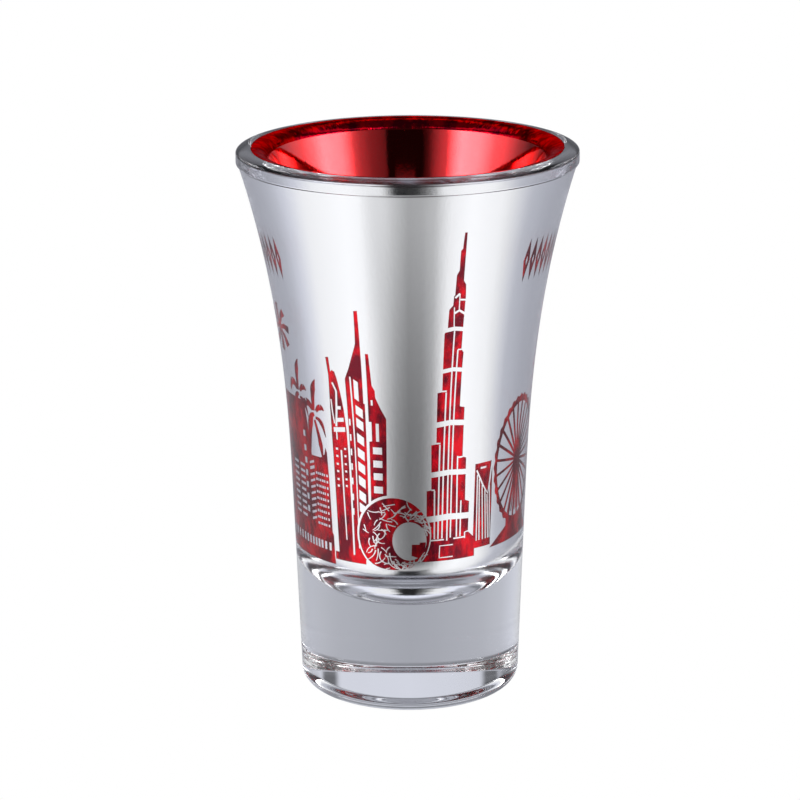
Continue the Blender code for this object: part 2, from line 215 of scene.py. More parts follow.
def light_tent():
    """A dome of azimuth against elevation: x is the radius times the cosine of elevation and
    the sine of azimuth, and its glow is a colour at each point."""
    azimuth, elevation = np.meshgrid(np.linspace(-180, 180, 241), np.linspace(-90, 90, 121))
    a, e = np.radians(azimuth), np.radians(elevation)
    points = TENT_RADIUS * np.stack([np.cos(e) * np.sin(a), -np.cos(e) * np.cos(a), np.sin(e)],
                                    axis=-1)
    points[..., 2] += HEIGHT / 2
    index = np.arange(azimuth.size).reshape(azimuth.shape)
    quads = np.stack([index[:-1, :-1], index[:-1, 1:], index[1:, 1:], index[1:, :-1]], axis=-1)
    tent = stage_sheet("light_tent", points.reshape(-1, 3), quads.reshape(-1, 4),
                       emitter("tent_cloth", "glow"))
    colors = np.ones((azimuth.size, 4), np.float32)
    colors[:, :3] = tent_glow(azimuth, elevation).reshape(-1, 3)
    glow = tent.data.attributes.new("glow", "FLOAT_COLOR", "POINT")
    glow.data.foreach_set("color", colors.ravel())
    tent.visible_camera = False
    return tent


tent = light_tent()
TABLE_HALF, TABLE_DROP = 3000.0, -0.05
corners = np.array([[-TABLE_HALF, -TABLE_HALF, TABLE_DROP], [TABLE_HALF, -TABLE_HALF, TABLE_DROP],
                    [TABLE_HALF, TABLE_HALF, TABLE_DROP], [-TABLE_HALF, TABLE_HALF, TABLE_DROP]])
table = stage_sheet("pale_table", corners, np.array([[0, 1, 2, 3]]), emitter("table_white"))
for ray in ("diffuse", "glossy", "transmission", "volume_scatter", "shadow"):
    setattr(table, "visible_" + ray, False)

world = bpy.data.worlds.new("backdrop")
bpy.context.scene.world = world
world.use_nodes = True
world.node_tree.nodes["Background"].inputs["Color"].default_value = (1.0, 1.0, 1.0, 1.0)
bpy.context.scene.view_settings.view_transform = "Standard"
light_paths = bpy.context.scene.cycles
light_paths.max_bounces, light_paths.glossy_bounces, light_paths.transmission_bounces = 24, 16, 24
print("the tent has", len(tent.data.polygons), "faces, the table", len(table.data.polygons))

# %% [markdown]
# ## The curve of the wall
#
# All three layers follow one curve: the cavity's surface, from the middle of its floor, round
# a generous corner, up the wall and over the inside of the lip. It could be drawn as a Bezier
# curve and spun with a Screw modifier. A formula is used instead, because the engraved sheet
# has to be rolled onto exactly the same curve.

# %% The outer wall and the cavity
WALL = 4.65
FOOT_RADIUS, WALL_LEAN = 15.85, 0.038
FLARE_START, FLARE_HEIGHT, FLARE_WIDTH, FLARE_POWER = 30.0, 47.0, 5.08, 2.45
FLOOR_Z, CORNER = 14.5, 8.0
CREST_RADIUS, LIP_INNER_Z = 22.4, 78.0


def outer_radius(z):
    """A straight lean, plus a power of the height above the flare's start."""
    rise = np.maximum(np.asarray(z, float) - FLARE_START, 0.0) / FLARE_HEIGHT
    return FOOT_RADIUS + WALL_LEAN * z + FLARE_WIDTH * rise**FLARE_POWER


WALL_FOOT = FLOOR_Z + CORNER
FOOT_IN = float(outer_radius(WALL_FOOT)) - WALL
CORNER_H = WALL_FOOT - CORNER * math.pi / 2
POLE_H = CORNER_H - (FOOT_IN - CORNER)
LIP_TURN = math.radians(12)
LIP_RISE = HEIGHT - LIP_INNER_Z
LIP_H = LIP_INNER_Z + LIP_RISE * math.sin(LIP_TURN)
LIP_REACH = (CREST_RADIUS - float(outer_radius(LIP_H)) + WALL) / math.cos(LIP_TURN)
LIP_SCALE = 2.4


def lip_h(degrees):
    """The path value where the lip's inner rounding has turned this far from the wall."""
    return LIP_H + (math.radians(degrees) - LIP_TURN) * LIP_SCALE


def cavity(h):
    """Radius and height along the cavity. The path value h is the height itself on the wall;
    below, it counts back round the corner's arc and in along the flat floor to the axis;
    above, it counts on over a quarter ellipse to the lip's crest."""
    h = np.asarray(h, float)
    arc = np.clip((h - WALL_FOOT) / CORNER, -math.pi / 2, 0.0)
    turn = LIP_TURN + np.maximum(h - LIP_H, 0.0) / LIP_SCALE
    where = [h < CORNER_H, h < WALL_FOOT, h < LIP_H]
    r = np.select(where, [h - POLE_H, FOOT_IN - CORNER + CORNER * np.cos(arc),
                          outer_radius(h) - WALL], CREST_RADIUS - LIP_REACH * np.cos(turn))
    z = np.select(where, [np.full_like(h, FLOOR_Z), WALL_FOOT + CORNER * np.sin(arc), h],
                  LIP_INNER_Z + LIP_RISE * np.sin(turn))
    return r, z


def into_glass(h):
    """The unit direction, as radius and height, that points straight into the glass: the
    path's own direction turned a quarter turn."""
    step = 0.004
    r0, z0 = cavity(np.maximum(h - step, POLE_H))
    r1, z1 = cavity(h + step)
    size = np.hypot(r1 - r0, z1 - z0)
    return (z1 - z0) / size, (r0 - r1) / size


def layer(h, depth):
    """The cavity curve moved straight into the glass by depth."""
    r, z = cavity(h)
    across, up = into_glass(h)
    return np.maximum(r + depth * across, 0.0), z + depth * up


print("cavity floor", FLOOR_Z, "mm, mouth radius", round(float(cavity(LIP_H)[0]), 2), "mm")

# %% [markdown]
# ## A turned surface
#
# The glass and its lining are turned shapes, such as a lathe or a spinning mould makes. Blender
# could spin a curve, but one numpy grid of angle against profile gives even faces, closed
# poles and no doubled seam.

# %% Surface of revolution
AROUND = 256


def add_piece(name, points, faces, material):
    """A mesh object from points in millimetres, smooth shaded."""
    mesh = bpy.data.meshes.new(name)
    mesh.from_pydata((points * MM).tolist(), [], faces)
    mesh.materials.append(material)
    mesh.shade_smooth()
    piece = bpy.data.objects.new(name, mesh)
    bpy.context.scene.collection.objects.link(piece)
    print(name, "has", len(mesh.polygons), "faces")
    return piece


def turned(name, r, z, material):
    """Each profile point (r, z) is carried round the axis: x is r times the sine of the angle
    and y is minus r times its cosine. The profile's two ends lie on the axis and become
    single points, each closed by a fan."""
    angle = np.arange(AROUND)[:, None] * (2 * math.pi / AROUND)
    inner_r, inner_z = r[None, 1:-1], z[None, 1:-1]
    ring = np.stack([inner_r * np.sin(angle), -inner_r * np.cos(angle),
                     np.broadcast_to(inner_z, (AROUND, inner_z.shape[1]))], axis=-1)
    count = inner_r.shape[1]
    points = np.vstack([ring.reshape(-1, 3), [[0, 0, z[0]], [0, 0, z[-1]]]])
    a = np.arange(AROUND)[:, None] * count + np.arange(count - 1)
    b = (np.arange(AROUND)[:, None] + 1) % AROUND * count + np.arange(count - 1)
    quads = np.stack([a, b, b + 1, a + 1], axis=-1).reshape(-1, 4)
    first = np.arange(AROUND) * count
    after = np.roll(first, -1)
    low, high = AROUND * count, AROUND * count + 1
    fans = [np.stack([np.full(AROUND, low), after, first], axis=1),
            np.stack([np.full(AROUND, high), first + count - 1, after + count - 1], axis=1)]
    return add_piece(name, points, quads.tolist() + fans[0].tolist() + fans[1].tolist(), material)


# %% [markdown]
# ## Finishes
#
# The glass is clear with a faint waviness, because it is pressed and not blown. The silver is
# a fine-grained mirror. The red is a lacquer mirror with a soft orange-peel ripple. Each could
# be a single Principled BSDF with fixed values, but that looks like plastic: small changes of
# slope and roughness over the surface are what make a mirror look made. One group makes that
# unevenness for all of them.

# %% Shared unevenness group
def make_unevenness():
    """Two sizes of noise, mixed: the mask runs from Low to High, and the height for a bump is
    the same mixture before it is rescaled."""
    group = bpy.data.node_groups.new("unevenness", "ShaderNodeTree")
    for label, value in (("Wide Scale", 60.0), ("Fine Scale", 900.0), ("Fine Share", 0.3),
                         ("Low", 0.1), ("High", 0.2)):
        socket = group.interface.new_socket(label, in_out="INPUT", socket_type="NodeSocketFloat")
        socket.default_value = value
    socket = group.interface.new_socket("Stretch", in_out="INPUT", socket_type="NodeSocketVector")
    socket.default_value = (1.0, 1.0, 1.0)
    group.interface.new_socket("Mask", in_out="OUTPUT", socket_type="NodeSocketFloat")
    group.interface.new_socket("Height", in_out="OUTPUT", socket_type="NodeSocketFloat")
    nodes, links = group.nodes, group.links
    entry, leave = nodes.new("NodeGroupInput"), nodes.new("NodeGroupOutput")
    where = nodes.new("ShaderNodeTexCoord")
    stretch = nodes.new("ShaderNodeVectorMath")
    stretch.operation = "MULTIPLY"
    links.new(where.outputs["Object"], stretch.inputs[0])
    links.new(entry.outputs["Stretch"], stretch.inputs[1])
    noises = []
    for label, detail in (("Wide Scale", 2.0), ("Fine Scale", 3.0)):
        noise = nodes.new("ShaderNodeTexNoise")
        noise.inputs["Detail"].default_value = detail
        links.new(stretch.outputs["Vector"], noise.inputs["Vector"])
        links.new(entry.outputs[label], noise.inputs["Scale"])
        noises.append(noise)
    blend = nodes.new("ShaderNodeMix")
    links.new(entry.outputs["Fine Share"], blend.inputs["Factor"])
    links.new(noises[0].outputs["Fac"], blend.inputs["A"])
    links.new(noises[1].outputs["Fac"], blend.inputs["B"])
    spread = nodes.new("ShaderNodeMapRange")
    spread.inputs["From Min"].default_value = 0.3
    spread.inputs["From Max"].default_value = 0.7
    links.new(blend.outputs["Result"], spread.inputs["Value"])
    links.new(entry.outputs["Low"], spread.inputs["To Min"])
    links.new(entry.outputs["High"], spread.inputs["To Max"])
    links.new(spread.outputs["Result"], leave.inputs["Mask"])
    links.new(blend.outputs["Result"], leave.inputs["Height"])
    return group


UNEVENNESS = make_unevenness()


# %% One finish from the group
def finish(name, color, metallic, rough, scales, stretch, relief, ior=1.5):
    """A Principled BSDF whose roughness runs between the two values of rough, and whose slope
    follows the same unevenness as a bump of relief millimetres."""
    material = bpy.data.materials.new(name)
    material.use_nodes = True
    nodes, links = material.node_tree.nodes, material.node_tree.links
    shader = next(node for node in nodes if node.type == "BSDF_PRINCIPLED")
    shader.inputs["Base Color"].default_value = (*color, 1.0)
    shader.inputs["Metallic"].default_value = metallic
    shader.inputs["IOR"].default_value = ior
    uneven = nodes.new("ShaderNodeGroup")
    uneven.node_tree = UNEVENNESS
    uneven.inputs["Wide Scale"].default_value = scales[0]
    uneven.inputs["Fine Scale"].default_value = scales[1]
    uneven.inputs["Fine Share"].default_value = scales[2]
    uneven.inputs["Low"].default_value = rough[0]
    uneven.inputs["High"].default_value = rough[1]
    uneven.inputs["Stretch"].default_value = stretch
    bump = nodes.new("ShaderNodeBump")
    bump.inputs["Distance"].default_value = relief * MM
    links.new(uneven.outputs["Mask"], shader.inputs["Roughness"])
    links.new(uneven.outputs["Height"], bump.inputs["Height"])
    links.new(bump.outputs["Normal"], shader.inputs["Normal"])
    return material, shader


clear_glass, glass_shader = finish("clear_glass", (0.97, 0.98, 0.99), 0.0, (0.0, 0.01),
                                   (110.0, 700.0, 0.05), (1.0, 1.0, 0.5), 0.02, 1.52)
glass_shader.inputs["Transmission Weight"].default_value = 1.0
glass_shader.inputs["Specular Tint"].default_value = (0.35, 0.35, 0.38, 1.0)
silver_mirror, _ = finish("silver_mirror", (0.9, 0.9, 0.92), 1.0, (0.07, 0.12),
                          (250.0, 2600.0, 0.4), (1.0, 1.0, 0.3), 0.01)
red_lacquer, lacquer_shader = finish("red_lacquer", (0.72, 0.002, 0.008), 1.0, (0.03, 0.07),
                                     (180.0, 1400.0, 0.15), (1.0, 1.0, 0.6), 0.05)
lacquer_shader.inputs["Specular Tint"].default_value = (0.9, 0.10, 0.13, 1.0)
lacquer_shader.inputs["Coat Weight"].default_value = 1.0
lacquer_shader.inputs["Coat Roughness"].default_value = 0.06
print("finishes:", [material.name for material in (clear_glass, silver_mirror, red_lacquer)])

# %% [markdown]
# ## The red seen through the glass, and painted reflections on the lip
#
# The lining's back lies where a laser burnt the silver off. Its finish is rougher than the front's
# and mottled with lighter and darker red. The same finish runs over the lip's rounding, where
# its dark patches are painted reflection: they stand in for the room's dark reflections. It
# could share the front's finish, but then the skyline would look printed. It gets a finish of
# its own, whose colour follows the shared unevenness too.

# %% Mottled red finish, with painted reflections on the lip
red_mottle_and_reflection, mottle_and_reflection_shader = finish("red_mottle_and_reflection", (0.72, 0.002, 0.01), 1.0,
                                           (0.05, 0.16), (170.0, 900.0, 0.35),
                                           (1.0, 1.0, 0.5), 0.25)
mottle_and_reflection_shader.inputs["Specular Tint"].default_value = (0.9, 0.10, 0.13, 1.0)


def patches_and_painted_reflection(material, shader, bright, dark):
    """Lighter and darker patches of red: the shared mask, spread to its full range, picks between
    a bright and a dark red. Where the finish covers the lip's rounding, the dark patches are
    painted reflection."""
    nodes, links = material.node_tree.nodes, material.node_tree.links
    patches = nodes.new("ShaderNodeGroup")
    patches.node_tree = UNEVENNESS
    for label, value in (("Wide Scale", 420.0), ("Fine Scale", 1500.0), ("Fine Share", 0.35),
                         ("Low", -0.6), ("High", 1.5)):
        patches.inputs[label].default_value = value
    patches.inputs["Stretch"].default_value = (1.0, 1.0, 0.45)
    ramp = nodes.new("ShaderNodeMix")
    ramp.data_type = "RGBA"
    ramp.clamp_factor = True
    ramp.inputs["A"].default_value = (*dark, 1.0)
    ramp.inputs["B"].default_value = (*bright, 1.0)
    links.new(patches.outputs["Mask"], ramp.inputs["Factor"])
    links.new(ramp.outputs["Result"], shader.inputs["Base Color"])


# The dark red makes darker patches; on the lip's rounding they are painted reflection.
BRIGHT_RED, DARK_PATCH_AND_REFLECTION_RED = (0.74, 0.002, 0.012), (0.16, 0.001, 0.012)
patches_and_painted_reflection(red_mottle_and_reflection, mottle_and_reflection_shader, BRIGHT_RED, DARK_PATCH_AND_REFLECTION_RED)
print("mottled between", BRIGHT_RED, "and", DARK_PATCH_AND_REFLECTION_RED)

# %% [markdown]
# ## The glass
#
# The body is pressed in a mould: a shallow punt under the foot, a rounded heel, a wall that
# leans and then flares, and a bead that stands proud below the lip. The whole outline is one
# profile from the middle of the punt to the middle of the cavity's floor.

# %% Glass profile
PUNT_RADIUS, PUNT_FLAT, PUNT_DEPTH, HEEL = 11.2, 8.6, 0.9, 2.3
BEAD_FOOT, LIP_RADIUS, SHOULDER = 77.8, 24.4, 79.3


def glass_outline():
    """Radius and height round the whole section, each part as a curve of one parameter."""
    r = np.linspace(0.0, PUNT_RADIUS, 40)
    foot = [(r, PUNT_DEPTH * (1 - smooth((r - PUNT_FLAT) / (PUNT_RADIUS - PUNT_FLAT))))]
    heel_top = float(outer_radius(HEEL))
    turn = np.radians(np.linspace(-90, 0, 16))
    heel = [(heel_top - HEEL + HEEL * np.cos(turn), HEEL + HEEL * np.sin(turn))]
    z = np.concatenate([np.linspace(3.0, BEAD_FOOT - 0.3, 66),
                        np.linspace(BEAD_FOOT - 0.2, SHOULDER, 18)])
    step = smooth((z - BEAD_FOOT + 0.15) / 0.35)
    wall = [(outer_radius(z) * (1 - step) + LIP_RADIUS * step, z)]
    turn = np.radians(np.linspace(4, 90, 20))
    lip = [(CREST_RADIUS + (LIP_RADIUS - CREST_RADIUS) * np.cos(turn),
            SHOULDER + (HEIGHT - SHOULDER) * np.sin(turn))]
    h = np.concatenate([np.linspace(lip_h(88), LIP_H, 20)[:-1], np.linspace(LIP_H, WALL_FOOT, 50),
                        np.linspace(WALL_FOOT, CORNER_H, 22)[1:], [POLE_H]])
    inside = [cavity(h)]
    parts = foot + heel + wall + lip + inside
    return np.concatenate([p[0] for p in parts]), np.concatenate([p[1] for p in parts])


glass = turned("pressed_glass", *glass_outline(), clear_glass)

# %% [markdown]
# ## The red lining
#
# The lining is sprayed over the film, so its back touches film and glass, and its front is
# the surface one drinks from. It is a thin cup that straddles the cavity's surface: its back
# lies just inside the glass, so no air shows between them.

# %% Lining
LINING_BACK, LINING_FRONT = 0.03, -0.03
LIP_ROWS = 19


def lining_outline():
    """The curve at the back's depth from the axis to the crest, then at the front's depth from
    the crest to the axis."""
    h = np.concatenate([[POLE_H], np.linspace(CORNER_H, WALL_FOOT, 22),
                        np.linspace(WALL_FOOT, LIP_H, 50)[1:],
                        np.linspace(LIP_H, lip_h(87), LIP_ROWS + 1)[1:]])
    back, front = layer(h, LINING_BACK), layer(h[::-1], LINING_FRONT)
    return np.concatenate([back[0], front[0]]), np.concatenate([back[1], front[1]])


lining = turned("mirror_lining", *lining_outline(), red_lacquer)
lining.data.materials.append(red_mottle_and_reflection)

# The mottled finish covers the back and runs on over the lip's rounding as painted reflection.
segments = len(lining_outline()[0]) - 3
back_and_lip_reflection_faces = np.arange(AROUND * segments) % segments < (segments - 1) // 2 + LIP_ROWS
back_and_lip_reflection_faces = np.concatenate([back_and_lip_reflection_faces, np.ones(AROUND, bool), np.zeros(AROUND, bool)])
lining.data.polygons.foreach_set("material_index", back_and_lip_reflection_faces.astype(np.int32))
print("faces with the mottled finish:", int(back_and_lip_reflection_faces.sum()), "of", len(back_and_lip_reflection_faces))

# %% [markdown]
# ## Drawing the skyline
#
# The silver is burnt away by a laser that works like a plotter on the unrolled cavity. So the
# picture is drawn flat: across in degrees round the glass, up in millimetres. It could be a
# black and white texture, but real openings in a real sheet keep their edges sharp from any
# distance. Each outline either cuts the film or keeps it, and later ones lie over earlier.

# %% Drawing tools
CUT, KEEP = True, False


def box(a0, a1, z0, z1, lift=0.0):
    """A rectangle from a0 to a1 and z0 to z1, its right side raised by lift."""
    return [(a0, z0), (a1, z0 + lift), (a1, z1 + lift), (a0, z1)]


def oval(a, z, ra, rz, count=48):
    """Points on an ellipse: centre plus half-widths times cosine and sine."""
    t = np.arange(count) * 2 * math.pi / count
    return list(zip((a + ra * np.cos(t)).tolist(), (z + rz * np.sin(t)).tolist()))


def stroke(points, width, end_width=None):
    """A pen line: each point is moved to both sides by half the width, at right angles to the
    line. Degrees are turned into millimetres with the cavity's radius at that height."""
    p = np.array(points, float)
    scale = np.radians(outer_radius(p[:, 1]) - WALL)
    flat = np.stack([p[:, 0] * scale.mean(), p[:, 1]], axis=1)
    along = np.gradient(flat, axis=0)
    along /= np.linalg.norm(along, axis=1, keepdims=True)
    half = np.linspace(width, width if end_width is None else end_width, len(p))[:, None] / 2
    side = np.stack([-along[:, 1], along[:, 0]], axis=1) * half
    side[:, 0] /= scale
    return [tuple(q) for q in np.vstack([p + side, (p - side)[::-1]]).tolist()]


print("a plain pen line becomes", len(stroke([(0, 30), (10, 30)], 0.2)), "points")

# %% The stepped needle tower
def stepped_tower():
    """Stacked tiers that step back as they rise, split by silver floors and pillars."""
    left = [(10.2, 25.6), (10.2, 33.1), (13.0, 33.2), (12.7, 40.0), (15.6, 40.1), (15.6, 47.8),
            (18.2, 47.9), (18.1, 56.6), (19.6, 57.4), (19.8, 60.2), (21.6, 60.8), (21.7, 62.2),
            (22.2, 62.3), (22.2, 65.3), (23.3, 66.0), (23.0, 68.9), (23.8, 69.2), (23.9, 71.6)]
    right = [(25.0, 71.6), (25.4, 68.9), (25.7, 66.3), (25.9, 64.4), (27.2, 63.8), (27.7, 62.0),
             (27.8, 54.1), (29.1, 53.6), (28.9, 51.0), (28.9, 45.5), (31.8, 45.3), (31.9, 37.8),
             (34.3, 37.6), (34.4, 31.2), (37.2, 30.9), (36.9, 26.4), (36.9, 25.6)]
    shapes = [(CUT, [(1.0, 22.4), (41.8, 22.4), (41.8, 25.2), (36.9, 26.3), (1.0, 25.2)]),
              (CUT, left + right)]
    for a0, a1, z, thick in ((17.0, 29.5, 57.2, 0.6), (17.0, 30.5, 51.1, 0.6),
                             (14.4, 33.0, 43.1, 0.8), (11.4, 35.6, 35.6, 0.8),
                             (8.8, 38.4, 28.9, 0.9)):
        middle = (a0 + a1) / 2
        shapes.append((KEEP, stroke([(a0, z - 0.15), (middle, z + 0.12), (a1, z - 0.15)], thick)))
    pillars = [(15.0, 25.8, 14.9, 33.1), (17.2, 25.8, 17.7, 40.0), (19.7, 25.8, 20.5, 47.8),
               (22.8, 25.4, 23.3, 57.0), (25.0, 25.8, 25.8, 54.1), (29.0, 25.8, 28.7, 38.0),
               (31.4, 25.8, 31.6, 31.2)]
    for a0, z0, a1, z1 in pillars:
        shapes.append((KEEP, stroke([(a0, z0), (a1, z1)], 0.19)))
    shapes += [
        (KEEP, stroke([(22.4, 61.9), (24.6, 62.5)], 0.3)),
        (KEEP, stroke([(24.6, 62.5), (24.9, 59.9)], 0.14)),
        (KEEP, stroke([(25.0, 61.6), (27.9, 61.5)], 0.26)),
        (KEEP, stroke([(22.5, 59.6), (25.0, 60.0), (28.2, 59.4)], 0.34)),
        (KEEP, stroke([(22.3, 60.5), (22.9, 57.4)], 0.14)),
        (KEEP, stroke([(25.8, 54.1), (28.0, 54.1)], 0.2)),
        (KEEP, stroke([(18.2, 48.0), (20.8, 48.0)], 0.22)),
        (KEEP, stroke([(28.6, 37.8), (31.9, 37.8)], 0.24)),
        (KEEP, stroke([(15.6, 40.2), (18.0, 40.2)], 0.22)),
        (KEEP, stroke([(13.0, 33.2), (15.0, 33.2)], 0.2)),
        (KEEP, stroke([(34.6, 25.4), (34.6, 26.3), (37.0, 26.4)], 0.2)),
        (KEEP, stroke([(12.8, 25.6), (21.0, 25.6)], 0.2)),
        (KEEP, stroke([(27.0, 25.6), (34.6, 25.6)], 0.22)),
        (KEEP, stroke([(26.8, 24.7), (18.4, 24.7), (18.1, 22.9), (26.9, 22.9)], 0.17)),
    ]
    return shapes


print("the needle tower has", len(stepped_tower()), "outlines")

# %% The three slim towers
def sail_tower():
    """A tower with one curved side, a mast and rows of lit windows."""
    shapes = [
        (CUT, [(-46.0, 22.4), (-35.6, 22.4), (-36.0, 30.0), (-36.5, 37.0), (-36.9, 41.5),
               (-38.0, 44.8), (-39.5, 47.3), (-41.0, 49.3), (-42.2, 50.3), (-43.9, 50.5),
               (-44.9, 50.2), (-45.3, 52.4), (-47.3, 52.3), (-46.6, 49.6), (-47.4, 45.0),
               (-47.6, 40.0), (-47.1, 32.0), (-46.4, 25.0)]),
        (KEEP, stroke([(-44.5, 48.6), (-42.2, 47.4), (-42.9, 44.6), (-43.9, 42.0)], 0.3)),
        (KEEP, stroke([(-46.3, 46.0), (-45.9, 44.0), (-45.0, 42.4)], 0.2)),
        (KEEP, box(-42.9, -39.9, 44.6, 45.1, 0.1)),
        (KEEP, box(-43.4, -38.5, 42.7, 43.3, 0.2)),
        (KEEP, box(-45.9, -37.9, 41.1, 41.8, 0.3)),
        (KEEP, box(-44.4, -43.5, 40.0, 41.2)),
        (KEEP, stroke([(-41.4, 38.5), (-41.0, 32.0), (-40.0, 25.0)], 0.26, 0.16)),
    ]
    for z in (38.6, 37.5, 36.3, 35.2, 34.0, 33.0):
        shapes.append((KEEP, box(-45.3, -43.7, z - 0.16, z + 0.16)))
        shapes.append((KEEP, box(-39.4, -38.0, z + 0.04, z + 0.34)))
    return shapes


def slant_roof_tower():
    """A slanted roof under a tall mast, and big slanted windows."""
    shapes = [
        (CUT, [(-34.4, 22.4), (-24.5, 22.4), (-24.6, 46.0), (-25.4, 46.1), (-25.2, 60.0),
               (-27.2, 59.9), (-27.5, 57.2), (-27.9, 55.0), (-28.7, 54.3), (-33.0, 51.1),
               (-35.7, 49.5), (-35.4, 40.0)]),
        (KEEP, stroke([(-32.5, 49.9), (-32.0, 40.0), (-31.3, 24.0)], 0.22, 0.13)),
        (KEEP, box(-30.6, -28.0, 46.7, 49.6, -0.4)),
    ]
    for z in (44.4, 42.5, 40.2, 38.0, 35.9, 33.8, 31.6, 29.7):
        shapes.append((KEEP, box(-30.3, -26.1, z, z + 1.35, -0.65)))
    for z in (42.5, 40.2, 38.0, 35.8, 33.6, 31.2, 29.0):
        shapes.append((KEEP, box(-35.0, -34.0, z, z + 1.0)))
    return shapes


def square_window_tower():
    """A shorter tower with a sloping roof, a slot and four square windows."""
    shapes = [
        (CUT, [(-22.9, 30.5), (-13.3, 30.5), (-12.9, 38.0), (-12.6, 44.0), (-15.5, 45.4),
               (-18.4, 47.1), (-18.5, 48.1), (-20.1, 48.9), (-20.4, 50.2), (-21.1, 53.6),
               (-22.8, 53.6), (-22.8, 43.4), (-21.2, 43.4), (-21.2, 40.5), (-22.9, 40.4)]),
        (KEEP, box(-18.8, -17.0, 40.5, 43.2)),
        (KEEP, box(-21.1, -20.0, 45.9, 46.7)),
    ]
    for z in (39.1, 37.1, 35.2, 33.2):
        shapes.append((KEEP, box(-20.9, -15.5, z - 0.52, z + 0.52)))
    return shapes


print("the slim towers have", [len(tower()) for tower in
                               (sail_tower, slant_roof_tower, square_window_tower)], "outlines")

# %% The ring hall
HALL_STROKES, STROKE_WIDE = 110, 4.4


def ring_hall(seed=5):
    """A flat ring lying in front of the towers. Short curved strokes of silver are scattered
    round it: each is a straight line plus a bend by the square of the distance from its
    middle, and spells nothing."""
    t = np.radians(np.arange(0, 360, 7.5))
    dent = 0.8 * np.exp(-((np.degrees(t) - 270) / 40) ** 2)
    body = np.stack([-9.5 + 21.8 * np.cos(t), 26.25 + 5.85 * np.sin(t) + dent], axis=1)
    rim = np.stack([-9.7 + 22.8 * np.cos(t), 26.35 + 6.15 * np.sin(t) + dent], axis=1)
    shapes = [(KEEP, rim.tolist()), (CUT, body.tolist())]
    rng = np.random.default_rng(seed)
    for k in range(HALL_STROKES):
        turn = math.radians(360 * k / HALL_STROKES + rng.uniform(-3, 3))
        share = 0.1 + 0.8 * rng.random()
        outer = np.array([-9.5 + 21.0 * math.cos(turn), 26.2 + 5.5 * math.sin(turn)])
        inner = np.array([-0.5 + 11.2 * math.cos(turn), 25.6 + 3.2 * math.sin(turn)])
        if np.hypot(*((outer - inner) * (0.22, 1.0))) < 1.0:
            continue
        middle = inner + (outer - inner) * share
        heading = turn + math.pi / 2 + rng.uniform(-1.3, 1.3)
        reach = 0.45 + 0.5 * rng.random()
        s = np.linspace(-1, 1, 6)
        bend = rng.uniform(-1.2, 1.2) * 0.35 * s**2
        a = middle[0] + STROKE_WIDE * reach * (s * math.cos(heading) - bend * math.sin(heading))
        z = middle[1] + reach * (s * math.sin(heading) + bend * math.cos(heading))
        shapes.append((KEEP, stroke(np.stack([a, z], axis=1), 0.17, 0.1)))
    hole = oval(0.0, 25.6, 10.3, 2.9, 40)
    shapes += [(KEEP, hole),
               (CUT, [(1.2, 23.4), (6.0, 23.0), (9.4, 24.3), (9.9, 25.4), (6.2, 25.4), (6.0, 25.1),
                      (1.4, 25.1)])]
    return shapes


print("the ring hall has", len(ring_hall()), "outlines")

# %% The gate building
def gate_building():
    """A block with a hanging triangle, a slot and a fringe of fine columns."""
    shapes = [
        (CUT, [(40.6, 23.5), (54.4, 23.5), (54.6, 30.0), (54.1, 36.3), (40.9, 36.3)]),
        (KEEP, box(44.9, 49.2, 35.38, 35.68)),
        (KEEP, stroke([(42.1, 35.3), (47.0, 32.9), (51.1, 31.4), (52.4, 33.2), (54.0, 36.4)],
                      0.24)),
    ]
    for a0, a1, top in ((43.2, 42.7, 34.6), (45.3, 44.2, 33.9), (48.0, 46.5, 32.9),
                        (50.4, 48.8, 32.1), (52.3, 50.6, 31.3), (53.6, 52.4, 32.6)):
        shapes.append((KEEP, stroke([(a0, 24.6), (a1, top)], 0.17)))
    return shapes


print("the gate building has", len(gate_building()), "outlines")

# %% The observation wheel
HUB, SPOKES = (80.0, 35.0), 24


def observation_wheel():
    """A scalloped rim, thin spokes and a wide foot."""
    t = np.radians(np.arange(0, 360, 3.0))
    bumps = 1 + 0.022 * np.cos(32 * t)
    rim = np.stack([HUB[0] + 24.2 * np.cos(t) * bumps, HUB[1] + 9.75 * np.sin(t) * bumps], axis=1)
    shapes = [
        (CUT, [(54.2, 23.0), (106.0, 23.0), (96.0, 25.0), (92.0, 27.6), (69.5, 27.4),
               (69.4, 25.4), (62.0, 24.3)]),
        (CUT, rim.tolist()),
        (KEEP, oval(*HUB, 21.6, 8.65, 72)),
    ]
    for k in range(SPOKES):
        turn = math.radians(360 // SPOKES * k + 9)
        end = (HUB[0] + 22.6 * math.cos(turn), HUB[1] + 9.1 * math.sin(turn))
        shapes.append((CUT, stroke([HUB, end], 0.42)))
    for k in range(9):
        a = 71.0 + 2.2 * k
        shapes.append((CUT, stroke([HUB, (a, 27.2)], 0.25)))
    shapes.append((CUT, oval(*HUB, 3.2, 1.3, 24)))
    return shapes


print("the wheel has", len(observation_wheel()), "outlines")

